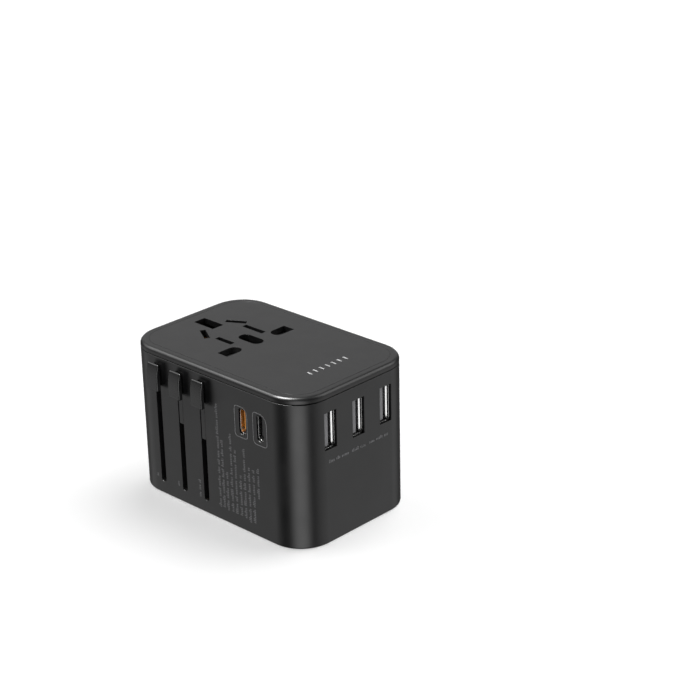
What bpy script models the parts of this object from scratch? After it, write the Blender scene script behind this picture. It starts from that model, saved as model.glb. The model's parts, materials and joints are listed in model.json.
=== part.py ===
"""Universal travel adapter: a pocket block with a world socket, three slide-out plugs and USB ports.

The block stands on its plug face. Z = 0 is the plug face and +Z points to the socket face. +X points
to the end that holds the USB-A ports, and -Y to the long side with the slider knobs.
All sizes below are in millimetres and are turned into metres when a mesh is made. They are measured
from the middle of the casing. The origin is the middle of the whole footprint, knobs included, so
every piece is moved along Y by half a knob's height when it is placed.
"""
import bpy
import bmesh
from math import asin, cos, pi, radians, sin
from mathutils import Matrix, Vector

MM = 0.001
GAP = 0.3              # clearance between pieces that touch or slide

# Casing
LENGTH = 78.0          # along X
WIDTH = 51.5           # along Y
HEIGHT = 51.0          # plug face to socket face
CORNER = 11.5          # radius of the four upright corners
WALL = 2.0             # side walls
FLOOR = 2.4            # plug face wall
FOOT_ROUND = 0.7       # rounding around the plug face
COVER_SEAM = 2.2       # depth of the seam below the socket face
COVER_ROUND = 1.3      # rounding around the socket face
PLATE_INSET = 3.0      # from the side wall to the socket plate's edge
PLATE_THICK = 2.0
CORNER_STEPS = 12

# Sockets, for plugs that come from outside
SOCKET_X = -5.3        # line through the live and neutral holes
UK_EARTH_OFFSET = 22.2
UK_PIN_Y = 11.1
UK_PIN = (3.96, 6.35)  # live and neutral pin, X by Y
UK_EARTH_PIN = (8.0, 4.0)
UK_LIVE_LENGTH = 17.7
UK_EARTH_LENGTH = 22.7
EU_PIN_Y = 9.5
EU_PIN_R = 2.0
EU_PIN_LENGTH = 19.0
US_BLADE_Y = 6.35
US_BLADE = (6.35, 1.5)
US_BLADE_LENGTH = 18.0
AU_BLADE_Y = 6.85
AU_TILT = 30.0         # degrees between the American and the Australian blade
HOLE_PLAY = 0.6        # socket hole size over pin size
CENTRE_EARTH = (9.5, 4.4)
US_SOCKET_X = -13.0
NEUTRAL_SLOT = 9.0     # length of the wide American slot
LIVE_SLOT = 7.2
AU_SOCKET_X = -21.8

# Plugs, which slide out of the plug face
EU_X = -31.9
UK_X = -20.2
US_X = -2.5
EU_TRAVEL = 32.5
EU_BODY_TRAVEL = 13.0
UK_TRAVEL = 23.0
US_TRAVEL = 20.5
EU_BODY_HALF = (4.5, 18.1)
EU_BODY_FLAT = 13.8    # half length of the hexagon's straight side
EU_BODY_HEIGHT = 18.0
EU_BODY_WALL = 1.2
EU_BODY_FLOOR = 2.0
PIN_PLAY = 0.45        # around a pin where it leaves the casing

# Slider knobs on the -Y side
SLOT_X = {"eu": -24.3, "uk": -14.05, "us": -3.8}
SLOT_WIDTH = 2.3
SLOT_BOTTOM = 4.5
KNOB_DROP = 1.8        # from the seam down to a knob's top
KNOB = (5.1, 2.8, 9.0)
KNOB_PLATE = 1.5         # thickness of the finger plate
KNOB_STEM = (3.4, 7.4)   # narrower stem behind it, X by Z
STRIP_LENGTH = {"eu": 0.0, "uk": 9.5, "us": 11.7}  # closes the slot below a knob
ARM_WIDTH = 1.7
ARM_TALL = 3.0
ARM_DROP = {"eu": 7.5, "uk": 15.7, "us": 20.0}     # from a knob's top down to its arm
ORIGIN_SHIFT = Vector((0.0, KNOB[1] / 2, 0.0))

# USB ports
USB_A_PITCH = 12.24
USB_DROP = 13.0        # from the socket face to the middle of the ports
USB_A_INSIDE = (12.4, 5.2)   # opening, Z by Y
USB_A_DEPTH = 14.0
USB_C_X = (14.4, 22.2)
USB_C_INSIDE = (8.34, 2.56)
USB_C_DEPTH = 7.4
USB_SHEET = 0.35
PORT_RECESS = 1.0      # casing wall in front of a USB-A port's steel shell
USB_C_RECESS = 0.35    # the same for a USB-C port
USB_A_TONGUE_BACK = 0.1      # from a port's mouth to its tongue
USB_C_TONGUE_BACK = 0.85
USB_A_TONGUE = (0.7, 2.7)    # from the -Y side of the opening
USB_C_TONGUE = 1.0

# Fasteners, fuse and inner pieces
COVER_SCREW_X = ((-27.5, -1), (-27.5, 1), (18.4, 1), (4.3, -1))  # with the side of the casing
POST_INSET = 3.3       # from a side wall to a cover screw
FRAME_SCREWS = ((-15.0, -17.8), (-5.4, -17.8), (-9.2, 0.0))
POST_R = 2.0
SCREW_R = 1.0
SCREW_HEAD = (1.8, 0.9)
SCREW_SUNK = 0.6       # below the plug face
COVER_SCREW_LENGTH = 9.0
FRAME_SCREW_LENGTH = 2.9
FUSE_X = 3.0
FUSE_R = 2.6
FUSE_LENGTH = 20.0
FUSE_DOOR = (11.6, 6.4, 1.2)
FRAME_THICK = 2.0
CARRIER_THICK = 3.0
SHEET = 0.7            # contact strip
BOARD_THICK = 1.6
SHUTTER_TRAVEL = 5.6
SHUTTER_CLEAR = 0.44   # left between the open shutter and a pin hole
SHUTTER_END = 3.2      # the end that the spring pushes
SPRING_END = 16.0      # the stop behind the spring
SPRING_R = 0.8
SPRING_WIRE = 0.2
SPRING_TURNS = 8

# Levels that follow from the sizes above
SEAM_Z = HEIGHT - COVER_SEAM
INNER_Y = WIDTH / 2 - WALL
COVER_SCREWS = tuple((x, side * (INNER_Y - POST_INSET)) for x, side in COVER_SCREW_X)
FUSE_XY = (FUSE_X, INNER_Y - FUSE_R - 1.5 * GAP)
KNOB_TOP = SEAM_Z - KNOB_DROP
SLOT_TOP = KNOB_TOP - 1.8
USB_Z = HEIGHT - USB_DROP
FRAME_Z = FLOOR + GAP
FRAME_TOP = FRAME_Z + FRAME_THICK
STOP_Z = FRAME_TOP + GAP                       # where a slid-out carrier comes to rest
UK_CARRIER_Z = STOP_Z + UK_TRAVEL
US_CARRIER_Z = STOP_Z + US_TRAVEL
US_CARRIER_THICK = 5.0
EU_CARRIER_Z = EU_BODY_FLOOR + GAP - EU_BODY_TRAVEL + EU_TRAVEL
EU_CARRIER_THICK = 4.0
PLATE_Z = HEIGHT - PLATE_THICK
SHUTTER_TOP = PLATE_Z - GAP
SHUTTER_THICK = 2.1
CARRIER_TOP = SHUTTER_TOP - SHUTTER_THICK - GAP
CARRIER_PLATE = 1.8
CONTACT_TOP = CARRIER_TOP - CARRIER_PLATE - GAP
CONTACT_HEIGHT = 9.0
BOARD_TOP = USB_Z - USB_A_INSIDE[0] / 2 - USB_SHEET - 0.4
ARM_Z = {kind: KNOB_TOP - drop for kind, drop in ARM_DROP.items()}
UK_EARTH_X = UK_X + UK_EARTH_OFFSET
SOCKET_EARTH_X = SOCKET_X - UK_EARTH_OFFSET


# ---------------------------------------------------------------- helpers

def clear_scene():
    for obj in list(bpy.data.objects):
        bpy.data.objects.remove(obj, do_unlink=True)


def collection(name):
    group = bpy.data.collections.new(name)
    bpy.context.scene.collection.children.link(group)
    return group


def material(name, colour, roughness, metallic=0.0):
    mat = bpy.data.materials.new(name)
    mat.use_nodes = True
    shader = mat.node_tree.nodes["Principled BSDF"]
    shader.inputs["Base Color"].default_value = (*colour, 1.0)
    shader.inputs["Roughness"].default_value = roughness
    shader.inputs["Metallic"].default_value = metallic
    mat.diffuse_color = (*colour, 1.0)
    return mat


def box(low, high):
    """A box between two corners."""
    bm = bmesh.new()
    low = Vector(low)
    high = Vector(high)
    size = Matrix.Diagonal((*(high - low), 1.0))
    bmesh.ops.create_cube(bm, size=1.0, matrix=Matrix.Translation((low + high) / 2) @ size)
    return bm


def round_along(bm, axis, radius, steps=4, where=None):
    """Rounds the edges that run along one axis."""
    others = [i for i in range(3) if i != axis]
    edges = []
    for edge in bm.edges:
        a, b = (v.co for v in edge.verts)
        straight = all(abs(a[i] - b[i]) < 1e-5 for i in others)
        if straight and (where is None or where((a + b) / 2)):
            edges.append(edge)
    bmesh.ops.bevel(bm, geom=edges, offset=radius, segments=steps, profile=0.5, affect="EDGES")
    return bm


def round_rim(bm, axis, level, radius, steps=3):
    """Rounds the edges of the flat face that lies at one level of an axis."""
    edges = [e for e in bm.edges if all(abs(v.co[axis] - level) < 1e-5 for v in e.verts)]
    bmesh.ops.bevel(bm, geom=edges, offset=radius, segments=steps, profile=0.5, affect="EDGES")
    return bm


def rounded_box(low, high, corner, steps=6):
    return round_along(box(low, high), 2, corner, steps)


def rod(start, end, radius, sides=24):
    """A cylinder between two points."""
    bm = bmesh.new()
    start = Vector(start)
    end = Vector(end)
    along = end - start
    turn = Vector((0, 0, 1)).rotation_difference(along).to_matrix().to_4x4()
    place = Matrix.Translation((start + end) / 2) @ turn
    bmesh.ops.create_cone(bm, cap_ends=True, segments=sides, radius1=radius, radius2=radius,
                          depth=along.length, matrix=place)
    return bm


def outline_solid(points, low_z, high_z):
    """A flat outline in XY, filled and given a thickness."""
    curve = bpy.data.curves.new("outline", "CURVE")
    curve.dimensions = "2D"
    curve.fill_mode = "BOTH"
    curve.extrude = (high_z - low_z) / 2
    spline = curve.splines.new("POLY")
    spline.points.add(len(points) - 1)
    for point, (x, y) in zip(spline.points, points):
        point.co = (x, y, 0.0, 1.0)
    spline.use_cyclic_u = True
    guide = bpy.data.objects.new("outline", curve)
    bpy.context.scene.collection.objects.link(guide)
    bpy.context.view_layer.update()
    mesh = bpy.data.meshes.new_from_object(guide.evaluated_get(bpy.context.evaluated_depsgraph_get()))
    bm = bmesh.new()
    bm.from_mesh(mesh)
    bmesh.ops.remove_doubles(bm, verts=bm.verts, dist=1e-4)
    bmesh.ops.translate(bm, verts=bm.verts, vec=(0, 0, (low_z + high_z) / 2))
    bpy.data.objects.remove(guide)
    bpy.data.curves.remove(curve)
    bpy.data.meshes.remove(mesh)
    return bm


def arc(centre, radius, start, end, steps):
    """Points on an arc, with its angles in degrees."""
    angles = [radians(start + (end - start) * i / steps) for i in range(steps + 1)]
    return [(centre[0] + radius * cos(a), centre[1] + radius * sin(a)) for a in angles]


def grown(points, distance):
    """A convex outline, counter-clockwise, moved outwards by a distance."""
    result = []
    count = len(points)
    for i in range(count):
        before = Vector(points[i - 1])
        here = Vector(points[i])
        after = Vector(points[(i + 1) % count])
        edge_in = (here - before).normalized()
        edge_out = (after - here).normalized()
        normal_in = Vector((edge_in.y, -edge_in.x))
        normal_out = Vector((edge_out.y, -edge_out.x))
        shift = (normal_in + normal_out) * distance / (1 + normal_in.dot(normal_out))
        result.append(tuple(here + shift))
    return result


def ribbon(path, low_z, high_z):
    """An upright open strip that follows a path in XY."""
    bm = bmesh.new()
    verts = [bm.verts.new((x, y, low_z)) for x, y in path]
    edges = [bm.edges.new(pair) for pair in zip(verts, verts[1:])]
    top = bmesh.ops.extrude_edge_only(bm, edges=edges)["geom"]
    raised = [v for v in top if isinstance(v, bmesh.types.BMVert)]
    bmesh.ops.translate(bm, verts=raised, vec=(0, 0, high_z - low_z))
    return bm


def place(name, bm, group, mat=None):
    """Turns a shape in millimetres into an object in metres."""
    bmesh.ops.recalc_face_normals(bm, faces=bm.faces)
    bmesh.ops.translate(bm, vec=ORIGIN_SHIFT, verts=bm.verts)
    bmesh.ops.scale(bm, vec=(MM, MM, MM), verts=bm.verts)
    mesh = bpy.data.meshes.new(name)
    bm.to_mesh(mesh)
    bm.free()
    mesh.shade_smooth()
    mesh.set_sharp_from_angle(angle=radians(32))
    obj = bpy.data.objects.new(name, mesh)
    group.objects.link(obj)
    if mat is not None:
        mesh.materials.append(mat)
    return obj


def combine(obj, bm, operation):
    """Adds a hidden tool solid to an object, or takes it away."""
    tool = place(obj.name + "_tool", bm, tools)
    tool.hide_render = True
    tool.display_type = "WIRE"
    modifier = obj.modifiers.new(operation.lower(), "BOOLEAN")
    modifier.operation = operation
    modifier.solver = "EXACT"
    modifier.object = tool


def cut(obj, *shapes):
    for shape in shapes:
        combine(obj, shape, "DIFFERENCE")


def join(obj, *shapes):
    for shape in shapes:
        combine(obj, shape, "UNION")


def part(name, bm, mat):
    return place(name, bm, parts, mat)


def mover(name, location, *objects):
    """An empty on a joint's axis that carries the pieces that move with it."""
    empty = bpy.data.objects.new(name, None)
    empty.location = (Vector(location) + ORIGIN_SHIFT) * MM
    parts.objects.link(empty)
    bpy.context.view_layer.update()
    for obj in objects:
        obj.parent = empty
        obj.matrix_parent_inverse = empty.matrix_world.inverted()
    return empty


# ---------------------------------------------------------------- shared outlines

def casing_block(inset, low_z, high_z):
    """The casing's outline, moved inwards, as a block."""
    return rounded_box((-LENGTH / 2 + inset, -WIDTH / 2 + inset, low_z),
                       (LENGTH / 2 - inset, WIDTH / 2 - inset, high_z),
                       CORNER - inset, CORNER_STEPS)


def eu_outline(offset=0.0):
    """The European plug body's long hexagon, moved outwards by an offset."""
    half_x, half_y = EU_BODY_HALF
    corners = [(half_x, -EU_BODY_FLAT), (half_x, EU_BODY_FLAT), (0, half_y),
               (-half_x, EU_BODY_FLAT), (-half_x, -EU_BODY_FLAT), (0, -half_y)]
    return [(EU_X + x, y) for x, y in grown(corners, offset)]


def hourglass(side, play):
    """The opening that a blade fills when it stands straight or is turned outwards."""
    reach = US_BLADE[0] / 2 + play
    half = US_BLADE[1] / 2 + play
    spread = asin(half / reach) * 180 / pi
    waist = half / cos(radians(AU_TILT / 2))
    points = [(waist * cos(radians(AU_TILT / 2 - 90)), waist * sin(radians(AU_TILT / 2 - 90)))]
    points += arc((0, 0), reach, -spread, AU_TILT + spread, 6)
    points += [(waist * cos(radians(AU_TILT / 2 + 90)), waist * sin(radians(AU_TILT / 2 + 90)))]
    points += arc((0, 0), reach, 180 - spread, 180 + AU_TILT + spread, 6)
    if side < 0:
        points = [(x, -y) for x, y in reversed(points)]
    return [(US_X + x, side * US_BLADE_Y + y) for x, y in points]


def centred(x, y, size, low_z, high_z):
    return box((x - size[0] / 2, y - size[1] / 2, low_z), (x + size[0] / 2, y + size[1] / 2, high_z))


def socket_holes(low_z, high_z, play):
    """Every hole of the world socket, between two levels."""
    holes = []
    for side in (1, -1):
        half_x = (UK_PIN[0] + play) / 2
        outer = UK_PIN_Y + (UK_PIN[1] + play) / 2
        inner = EU_PIN_Y - EU_PIN_R - play / 2
        points = [(half_x, outer), (-half_x, outer), (-half_x, inner + half_x)]
        points += arc((0, inner + half_x), half_x, 180, 360, 8)[1:]
        if side < 0:
            points = [(x, -y) for x, y in reversed(points)]
        holes.append(outline_solid([(SOCKET_X + x, y) for x, y in points], low_z, high_z))
        slot = NEUTRAL_SLOT if side > 0 else LIVE_SLOT
        holes.append(centred(US_SOCKET_X, side * US_BLADE_Y, (slot, US_BLADE[1] + play * 0.6), low_z, high_z))
        blade = centred(0, 0, (US_BLADE[0] + play, US_BLADE[1] + play * 0.6), low_z, high_z)
        turn = Matrix.Translation((AU_SOCKET_X, side * AU_BLADE_Y, 0)) @ Matrix.Rotation(
            radians(side * AU_TILT), 4, "Z")
        bmesh.ops.transform(blade, matrix=turn, verts=blade.verts)
        holes.append(blade)
    earth_hole = (UK_EARTH_PIN[0] + play + 0.4, UK_EARTH_PIN[1] + play)
    holes.append(centred(SOCKET_EARTH_X, 0, earth_hole, low_z, high_z))
    wide, tall = CENTRE_EARTH
    holes.append(rounded_box((SOCKET_X - 2.4 - wide / 2, -tall / 2, low_z),
                             (SOCKET_X - 2.4 + wide / 2, tall / 2, high_z), tall / 2 - 0.05, 6))
    return holes


def pin_openings(low_z, high_z, play):
    """The openings for the British pins and the turning blades."""
    shapes = [centred(UK_X, side * UK_PIN_Y, (UK_PIN[0] + 2 * play, UK_PIN[1] + 2 * play), low_z, high_z)
              for side in (-1, 1)]
    earth_opening = (UK_EARTH_PIN[0] + 2 * play, UK_EARTH_PIN[1] + 2 * play)
    shapes.append(centred(UK_EARTH_X, 0, earth_opening, low_z, high_z))
    shapes += [outline_solid(hourglass(side, play), low_z, high_z) for side in (-1, 1)]
    return shapes


# ---------------------------------------------------------------- casing

def make_main_shell():
    block = casing_block(0, 0, SEAM_Z - GAP / 2)
    round_rim(block, 2, 0, FOOT_ROUND, 4)
    shell = part("main_shell", block, casing)
    cut(shell, casing_block(WALL, FLOOR, HEIGHT))
    for x in SLOT_X.values():
        slot = box((x - SLOT_WIDTH / 2, -WIDTH / 2 - 1, SLOT_BOTTOM),
                   (x + SLOT_WIDTH / 2, -INNER_Y + 1, SLOT_TOP))
        cut(shell, round_along(slot, 1, SLOT_WIDTH / 2 - 0.05, 5))
    cut(shell, *usb_windows())
    cut(shell, outline_solid(eu_outline(GAP), -1, FLOOR + 1))
    cut(shell, *pin_openings(-1, FLOOR + 1, PIN_PLAY))
    seat = SCREW_SUNK + SCREW_HEAD[1] + GAP
    for x, y in COVER_SCREWS + FRAME_SCREWS:
        cut(shell, rod((x, y, -1), (x, y, seat), SCREW_HEAD[0] + GAP))
        cut(shell, rod((x, y, seat - 1), (x, y, FLOOR + 1), SCREW_R + GAP, 16))
    cut(shell, fuse_door_block(GAP, -1, FUSE_DOOR[2] + GAP))
    cut(shell, rod((*FUSE_XY, 0.5), (*FUSE_XY, FLOOR + 1), FUSE_R + GAP, 32))


def usb_windows():
    shapes = []
    tall, wide = USB_A_INSIDE
    back = LENGTH / 2 - PORT_RECESS
    for k in (-1, 0, 1):
        y = k * USB_A_PITCH
        shapes.append(box((back - 2, y - wide / 2, USB_Z - tall / 2),
                          (LENGTH / 2 + 1, y + wide / 2, USB_Z + tall / 2)))
        grow = USB_SHEET + GAP
        shapes.append(box((LENGTH / 2 - WALL - 1, y - wide / 2 - grow, USB_Z - tall / 2 - grow),
                          (back, y + wide / 2 + grow, USB_Z + tall / 2 + grow)))
    tall, wide = USB_C_INSIDE
    front = -WIDTH / 2 + USB_C_RECESS
    for x in USB_C_X:
        shapes.append(obround_y(x, wide + 0.5, tall + 0.5, -WIDTH / 2 - 1, front + 2))
        grow = 2 * (USB_SHEET + GAP)
        shapes.append(obround_y(x, wide + grow, tall + grow, front, -INNER_Y + 1))
    return shapes


def obround_y(x, wide, tall, low_y, high_y):
    """A rod along Y with a tall, round-ended section at the USB level."""
    solid = box((x - wide / 2, low_y, USB_Z - tall / 2), (x + wide / 2, high_y, USB_Z + tall / 2))
    return round_along(solid, 1, wide / 2 - 0.05, 5)


def make_top_cover():
    outer = casing_block(0, SEAM_Z + GAP / 2, HEIGHT)
    round_rim(outer, 2, HEIGHT, COVER_ROUND, 5)
    cover = part("top_cover", outer, casing)
    spigot_z = CARRIER_TOP + GAP
    join(cover, casing_block(WALL + GAP, spigot_z, HEIGHT - 1))
    cut(cover, casing_block(PLATE_INSET - GAP / 2, PLATE_Z - GAP, HEIGHT + 1))
    cut(cover, casing_block(PLATE_INSET + 1.6, 0, HEIGHT + 1))
    for x, y in COVER_SCREWS:
        join(cover, rod((x, y, FRAME_Z), (x, y, PLATE_Z - 1), POST_R))
    for x, y in COVER_SCREWS:
        cut(cover, rod((x, y, 0), (x, y, COVER_SCREW_LENGTH + 5.0), SCREW_R + GAP, 16))


def make_socket_plate():
    plate = part("socket_plate", casing_block(PLATE_INSET + GAP / 2, PLATE_Z, HEIGHT), face)
    cut(plate, *socket_holes(PLATE_Z - 1, HEIGHT + 1, HOLE_PLAY))


def cross_cut(x, y):
    arms = [centred(x, y, (2.0, 0.45), 0, 1.1), centred(x, y, (0.45, 2.0), 0, 1.1)]
    return arms


def make_screws():
    kinds = (("cover", COVER_SCREWS, COVER_SCREW_LENGTH), ("frame", FRAME_SCREWS, FRAME_SCREW_LENGTH))
    head_top = SCREW_SUNK + SCREW_HEAD[1]
    for kind, places, length in kinds:
        for i, (x, y) in enumerate(places, 1):
            head = rod((x, y, SCREW_SUNK), (x, y, head_top), SCREW_HEAD[0])
            screw = part(f"{kind}_screw_{i}", head, steel)
            join(screw, rod((x, y, head_top - 0.3), (x, y, head_top + length), SCREW_R, 16))
            cut(screw, *cross_cut(x, y))


# ---------------------------------------------------------------- socket inside

def make_contact_carrier():
    low = CARRIER_TOP - CARRIER_PLATE
    plate = box((-LENGTH / 2 + WALL + 2.5, -INNER_Y + 0.85, low), (22.0, INNER_Y - 0.85, CARRIER_TOP))
    round_along(plate, 2, CORNER - WALL - 1.5, 6, where=lambda middle: middle.x < 0)
    carrier = part("contact_carrier", plate, inner_plastic)
    join(carrier, box((SPRING_END, -3, low + 0.5), (SPRING_END + 1.5, 3, SHUTTER_TOP)))
    cut(carrier, *socket_holes(low - 1, CARRIER_TOP + 1, HOLE_PLAY + 0.2))
    for x, y in COVER_SCREWS:
        cut(carrier, rod((x, y, low - 1), (x, y, CARRIER_TOP + 1), POST_R + GAP))


def make_shutter():
    low = SHUTTER_TOP - SHUTTER_THICK
    half_y = UK_PIN_Y + UK_PIN[1] / 2 + 1.0
    pad_y = EU_PIN_Y - EU_PIN_R - 0.6
    left = SOCKET_X + (UK_PIN[0] + HOLE_PLAY) / 2 + SHUTTER_CLEAR - SHUTTER_TRAVEL
    shutter = part("shutter", box((left, -half_y, low), (SHUTTER_END, half_y, SHUTTER_TOP)), inner_plastic)
    cut(shutter, box((left - 1, -pad_y, low - 1), (0.0, pad_y, SHUTTER_TOP + 1)))


def make_shutter_spring():
    steps = 10
    start = SHUTTER_END + GAP + SPRING_WIRE
    length = SPRING_END - GAP - SPRING_WIRE - start
    curve = bpy.data.curves.new("shutter_spring", "CURVE")
    curve.dimensions = "3D"
    curve.bevel_depth = SPRING_WIRE * MM
    curve.bevel_resolution = 2
    curve.use_fill_caps = True
    spline = curve.splines.new("POLY")
    count = SPRING_TURNS * steps + 1
    spline.points.add(count - 1)
    middle = SHUTTER_TOP - SHUTTER_THICK / 2
    for i, point in enumerate(spline.points):
        angle = 2 * pi * i / steps
        along = start + length * i / (count - 1)
        turn = Vector((along, SPRING_R * cos(angle), middle + SPRING_R * sin(angle)))
        point.co = (*((turn + ORIGIN_SHIFT) * MM), 1.0)
    curve.materials.append(steel)
    parts.objects.link(bpy.data.objects.new("shutter_spring", curve))


def make_contact(name, path, mat):
    strip = part(name, ribbon(path, CONTACT_TOP - CONTACT_HEIGHT, CONTACT_TOP), mat)
    sheet = strip.modifiers.new("sheet", "SOLIDIFY")
    sheet.thickness = SHEET * MM
    sheet.offset = 0
    sheet.use_even_offset = True
    return strip


def make_contacts():
    """Strips bent around the pins, and open beside the blades."""
    room = 0.55 + SHEET / 2
    near = SOCKET_X + UK_PIN[0] / 2 + room
    far = SOCKET_X - UK_PIN[0] / 2 - room
    out = UK_PIN_Y + UK_PIN[1] / 2 + room
    beside = US_BLADE_Y + US_BLADE[1] / 2 + room
    tilt = radians(AU_TILT)
    reach = US_BLADE[0] / 2
    off = US_BLADE[1] / 2 + room
    au_end = [(AU_SOCKET_X + s * reach * cos(tilt) - off * sin(tilt),
               AU_BLADE_Y + s * reach * sin(tilt) + off * cos(tilt)) for s in (1, -1)]
    path = [(near, EU_PIN_Y - 1.0), (near, out), (far, out), (far, beside), (US_SOCKET_X - 4.2, beside)]
    path += au_end
    make_contact("neutral_contact", path, brass)
    make_contact("live_contact", [(x, -y) for x, y in path], brass)
    side = UK_EARTH_PIN[1] / 2 + room
    left = SOCKET_EARTH_X - UK_EARTH_PIN[0] / 2 - room
    make_contact("earth_contact", [(SOCKET_EARTH_X + 3.5, -side), (left, -side), (left, side),
                                   (SOCKET_X + 2.0, side)], brass)


# ---------------------------------------------------------------- plugs

def make_knob(kind):
    """A finger knob with the tongue that fills and closes its slot."""
    x = SLOT_X[kind]
    wide, proud, tall = KNOB
    front = -WIDTH / 2 - proud
    middle = KNOB_TOP - tall / 2
    stem_wide, stem_tall = KNOB_STEM
    body = box((x - wide / 2, front, KNOB_TOP - tall), (x + wide / 2, front + KNOB_PLATE, KNOB_TOP))
    round_rim(body, 1, front, 0.7, 3)
    knob = part(f"{kind}_knob", body, casing)
    join(knob, box((x - stem_wide / 2, front + 1.0, middle - stem_tall / 2),
                   (x + stem_wide / 2, -WIDTH / 2 - GAP, middle + stem_tall / 2)))
    join(knob, box((x - ARM_WIDTH / 2, front + 1.0, KNOB_TOP - tall + 1.0),
                   (x + ARM_WIDTH / 2, -INNER_Y - 0.1, SLOT_TOP - 1.0)))
    if STRIP_LENGTH[kind] > 0:
        join(knob, box((x - ARM_WIDTH / 2, -WIDTH / 2 + 0.05, KNOB_TOP - tall - STRIP_LENGTH[kind]),
                       (x + ARM_WIDTH / 2, -INNER_Y - 0.1, KNOB_TOP - tall + 2.0)))
    return knob


def arm_end(kind, inner_y):
    """The arm behind a slot, with the flange that slides along the casing wall."""
    x = SLOT_X[kind]
    low = ARM_Z[kind]
    high = low + ARM_TALL
    flange = -INNER_Y + GAP
    arm = box((x - ARM_WIDTH / 2, flange + 0.3, low), (x + ARM_WIDTH / 2, inner_y, high))
    lip = box((x - ARM_WIDTH, flange, low - 0.5), (x + ARM_WIDTH, flange + 0.9, high + 1.5))
    return arm, lip


def make_eu_plug():
    knob = make_knob("eu")
    shell = part("eu_plug_body", outline_solid(eu_outline(), 0, EU_BODY_HEIGHT), casing)
    cut(shell, outline_solid(eu_outline(-EU_BODY_WALL), EU_BODY_FLOOR, EU_BODY_HEIGHT + 1))
    for side in (-1, 1):
        cut(shell, rod((EU_X, side * EU_PIN_Y, -1), (EU_X, side * EU_PIN_Y, EU_BODY_FLOOR + 1),
                       EU_PIN_R + PIN_PLAY))
    half_x = EU_BODY_HALF[0] - EU_BODY_WALL - GAP
    top = EU_CARRIER_Z + EU_CARRIER_THICK
    carrier = part("eu_carrier", box((EU_X - half_x, -EU_BODY_FLAT + 1, EU_CARRIER_Z),
                                     (EU_X + half_x, EU_BODY_FLAT - 1, top)), inner_plastic)
    low = ARM_Z["eu"]
    high = low + ARM_TALL
    arm, lip = arm_end("eu", -13.4)
    join(carrier, box((EU_X - 2, -6.4, top - 0.5), (EU_X + 2, -3.7, high)),
         box((EU_X - 2, -16.4, low), (EU_X + 2, -3.7, high)),
         box((EU_X - 2, -16.4, low), (SLOT_X["eu"] + ARM_WIDTH / 2, -13.4, high)), arm, lip)
    pins = []
    for i, side in enumerate((-1, 1), 1):
        y = side * EU_PIN_Y
        cut(carrier, rod((EU_X, y, EU_CARRIER_Z - 1), (EU_X, y, top + 1), EU_PIN_R + GAP))
        tip = EU_CARRIER_Z - (EU_BODY_FLOOR + GAP + EU_PIN_LENGTH)
        pin = part(f"eu_pin_{i}", round_rim(rod((EU_X, y, tip), (EU_X, y, top + GAP + 0.5), EU_PIN_R),
                                            2, tip, 0.8, 3), nickel)
        join(pin, rod((EU_X, y, top + GAP), (EU_X, y, top + GAP + 1.2), EU_PIN_R + 0.7))
        pins.append(pin)
    mover("eu_slide", (EU_X, 0, EU_CARRIER_Z), knob, carrier, *pins)
    mover("eu_body_slide", (EU_X, 0, 0), shell)


def make_uk_plug():
    knob = make_knob("uk")
    low = UK_CARRIER_Z
    top = low + CARRIER_THICK
    half_y = UK_PIN_Y + UK_PIN[1] / 2 + GAP + 0.6
    half_x = UK_PIN[0] / 2 + GAP + 0.7
    block = box((UK_X - half_x, -half_y, low), (UK_X + half_x, half_y, top))
    carrier = part("uk_carrier", block, inner_plastic)
    earth_left = UK_EARTH_X - UK_EARTH_PIN[0] / 2
    arm, lip = arm_end("uk", -half_y - 1.0)
    arm_low = ARM_Z["uk"]
    arm_high = arm_low + ARM_TALL
    join(carrier, box((UK_X, -2.0, low), (earth_left - GAP, 2.0, top)),
         box((earth_left - 1, -0.8, low), (UK_EARTH_X + 2.0, 0.8, top)),
         box((UK_X + half_x - 2.2, -half_y - 2.6, low), (UK_X + half_x, -half_y + 0.3, top)),
         box((UK_X + half_x - 2.2, -half_y - 2.6, min(low + 1, arm_low)),
             (UK_X + half_x, -half_y, max(top - 1, arm_high))),
         box((UK_X + half_x - 2.2, -half_y - 2.6, arm_low),
             (SLOT_X["uk"] + ARM_WIDTH / 2, -half_y - 0.2, arm_high)), arm, lip)
    pieces = [knob, carrier]
    for name, side in (("uk_neutral_pin", 1), ("uk_live_pin", -1)):
        y = side * UK_PIN_Y
        cut(carrier, centred(UK_X, y, (UK_PIN[0] + 2 * GAP, UK_PIN[1] + 2 * GAP), low - 1, top + 1))
        tip = UK_TRAVEL - UK_LIVE_LENGTH
        body = centred(UK_X, y, UK_PIN, tip, top + GAP + 0.5)
        round_rim(body, 2, tip, 0.7, 2)
        pin = part(name, body, nickel)
        join(pin, centred(UK_X, y, (UK_PIN[0] + 1.2, UK_PIN[1] + 1.2), top + GAP, top + GAP + 1.0))
        pieces.append(pin)
    tip = UK_TRAVEL - UK_EARTH_LENGTH
    body = centred(UK_EARTH_X, 0, UK_EARTH_PIN, tip, top)
    round_rim(body, 2, tip, 1.0, 2)
    earth = part("uk_earth_pin", body, nickel)
    cut(earth, box((earth_left - 1, -0.8 - GAP, low - GAP), (UK_EARTH_X + 2.0 + GAP, 0.8 + GAP, top + 1)))
    pieces.append(earth)
    mover("uk_slide", (UK_X, 0, low), *pieces)


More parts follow.
